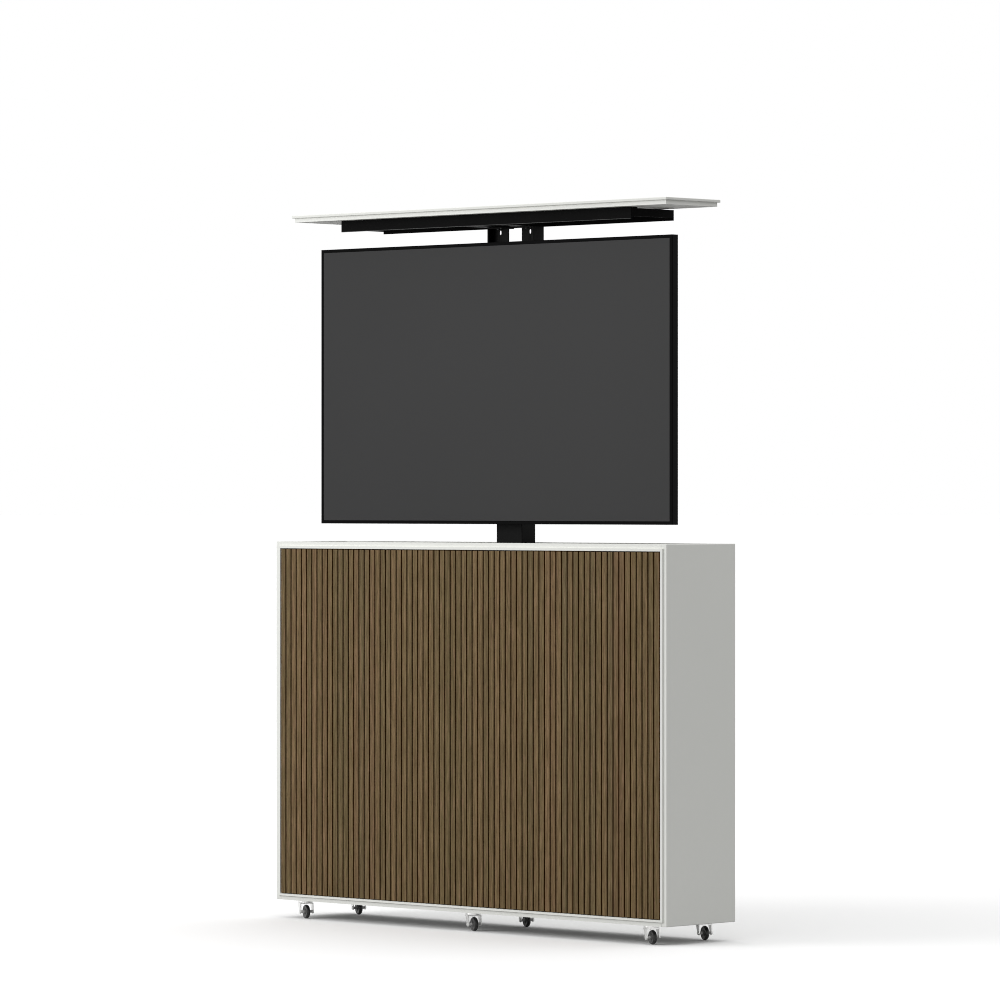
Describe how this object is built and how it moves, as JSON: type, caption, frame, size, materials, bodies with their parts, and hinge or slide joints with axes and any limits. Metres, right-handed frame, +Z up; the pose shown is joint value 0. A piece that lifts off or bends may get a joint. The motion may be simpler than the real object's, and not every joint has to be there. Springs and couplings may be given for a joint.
{
  "type": "tv lift cabinet",
  "caption": "Slim white cabinet on swivel casters with a brown slatted front; a telescoping column raises a flat television and its lid out of the top.",
  "frame": {"origin": "on the floor under the middle of the cabinet's bounding box", "axes": "+X to the viewer's right along the width, +Y from the slatted front to the back, +Z up"},
  "size_m": [1.3674, 0.2528, 1.8114],
  "materials": {
    "white_lacquer": "satin white lacquer on fibreboard",
    "slat_wood": "brown-stained oak veneer, matt, fine upright grain",
    "dark_board": "dark brown stained board, matt",
    "raw_board": "plain sealed board inside the cabinet",
    "black_steel": "black powder coat, fine texture, semi-matt",
    "column_coat": "black powder coat, smooth, satin",
    "lift_drive": "dark grey stoved enamel",
    "bright_tube": "drawn tube, bright",
    "slide_plastic": "black acetal guide, matt",
    "black_plastic": "moulded black plastic, fine texture",
    "tv_frame": "black anodised look, satin",
    "tv_glass": "dark anti-glare screen, switched off",
    "bright_screw": "zinc-plated fastener",
    "black_screw": "black oxide fastener",
    "spacer_rubber": "black rubber pad",
    "chrome_steel": "bright zinc-chrome plate",
    "wheel_rubber": "black soft tread, satin"
  },
  "bodies": {
    "root": {"left_side_panel": "white_lacquer", "right_side_panel": "white_lacquer", "bottom_panel": "white_lacquer", "top_panel": "white_lacquer", "front_board": "dark_board", "front_slats": "slat_wood", "front_trim_frame": "white_lacquer", "back_panel": "white_lacquer", "back_battens": "raw_board", "back_panel_screws": "bright_screw", "cable_grommet": "black_plastic", "column_base_plate": "black_steel", "base_bolts": "bright_screw", "outer_tube": "column_coat", "outer_tube_collar": "slide_plastic", "gearbox": "lift_drive", "lift_motor": "lift_drive", "control_box": "black_plastic", "actuator_tube": "bright_tube", "caster_mounts": "chrome_steel"},
    "middle_stage": {"middle_tube": "column_coat", "middle_tube_collar": "slide_plastic", "middle_slide_pads": "slide_plastic", "actuator_lower_rod": "bright_tube"},
    "carriage": {"inner_tube": "column_coat", "inner_slide_pads": "slide_plastic", "actuator_upper_rod": "bright_tube", "head_bracket": "column_coat", "mount_bolts": "black_screw", "left_arm": "column_coat", "right_arm": "column_coat", "left_vesa_rail": "black_steel", "right_vesa_rail": "black_steel", "lower_crossbar": "black_steel", "upper_crossbar": "black_steel", "tv_rear_cover": "black_plastic", "tv_bezel": "tv_frame", "tv_screen": "tv_glass", "lid_front_bar": "black_steel", "lid_rear_bar": "black_steel", "lid_end_bars": "black_steel", "lid_spacer_pads": "spacer_rubber", "lid_screws": "black_screw", "lid_plug": "white_lacquer", "lid_top": "white_lacquer", "left_lid_cross_bar": "black_steel", "right_lid_cross_bar": "black_steel"},
    "caster_1": {"caster_fork_1": "chrome_steel"},
    "wheel_1": {"caster_wheel_1": "wheel_rubber"},
    "caster_2": {"caster_fork_2": "chrome_steel"},
    "wheel_2": {"caster_wheel_2": "wheel_rubber"},
    "caster_3": {"caster_fork_3": "chrome_steel"},
    "wheel_3": {"caster_wheel_3": "wheel_rubber"},
    "caster_4": {"caster_fork_4": "chrome_steel"},
    "wheel_4": {"caster_wheel_4": "wheel_rubber"},
    "caster_5": {"caster_fork_5": "chrome_steel"},
    "wheel_5": {"caster_wheel_5": "wheel_rubber"},
    "caster_6": {"caster_fork_6": "chrome_steel"},
    "wheel_6": {"caster_wheel_6": "wheel_rubber"}
  },
  "joints": [
    {"name": "lift_lower", "type": "slide", "parent": "root", "child": "middle_stage", "axis": [0, 0, 1], "range_m": [-0.4167, 0]},
    {"name": "lift_upper", "type": "slide", "parent": "middle_stage", "child": "carriage", "axis": [0, 0, 1], "range_m": [-0.4167, 0]},
    {"name": "caster_1_swivel", "type": "hinge", "parent": "root", "child": "caster_1", "pos_m": [-0.60675, -0.09235, 0.0377], "axis": [0, 0, 1], "continuous": true},
    {"name": "wheel_1_spin", "type": "hinge", "parent": "caster_1", "child": "wheel_1", "pos_m": [-0.60123, -0.09469, 0.0176], "axis": [-0.3907, -0.9205, 0], "continuous": true},
    {"name": "caster_2_swivel", "type": "hinge", "parent": "root", "child": "caster_2", "pos_m": [0, -0.09235, 0.0377], "axis": [0, 0, 1], "continuous": true},
    {"name": "wheel_2_spin", "type": "hinge", "parent": "caster_2", "child": "wheel_2", "pos_m": [0.00552, -0.09469, 0.0176], "axis": [-0.3907, -0.9205, 0], "continuous": true},
    {"name": "caster_3_swivel", "type": "hinge", "parent": "root", "child": "caster_3", "pos_m": [0.60675, -0.09235, 0.0377], "axis": [0, 0, 1], "continuous": true},
    {"name": "wheel_3_spin", "type": "hinge", "parent": "caster_3", "child": "wheel_3", "pos_m": [0.61227, -0.09469, 0.0176], "axis": [-0.3907, -0.9205, 0], "continuous": true},
    {"name": "caster_4_swivel", "type": "hinge", "parent": "root", "child": "caster_4", "pos_m": [-0.60675, 0.09635, 0.0377], "axis": [0, 0, 1], "continuous": true},
    {"name": "wheel_4_spin", "type": "hinge", "parent": "caster_4", "child": "wheel_4", "pos_m": [-0.60123, 0.09401, 0.0176], "axis": [-0.3907, -0.9205, 0], "continuous": true},
    {"name": "caster_5_swivel", "type": "hinge", "parent": "root", "child": "caster_5", "pos_m": [0, 0.09635, 0.0377], "axis": [0, 0, 1], "continuous": true},
    {"name": "wheel_5_spin", "type": "hinge", "parent": "caster_5", "child": "wheel_5", "pos_m": [0.00552, 0.09401, 0.0176], "axis": [-0.3907, -0.9205, 0], "continuous": true},
    {"name": "caster_6_swivel", "type": "hinge", "parent": "root", "child": "caster_6", "pos_m": [0.60675, 0.09635, 0.0377], "axis": [0, 0, 1], "continuous": true},
    {"name": "wheel_6_spin", "type": "hinge", "parent": "caster_6", "child": "wheel_6", "pos_m": [0.61227, 0.09401, 0.0176], "axis": [-0.3907, -0.9205, 0], "continuous": true}
  ],
  "couplings": [
    {"joint": "lift_upper", "follows": "lift_lower", "ratio": 1}
  ]
}
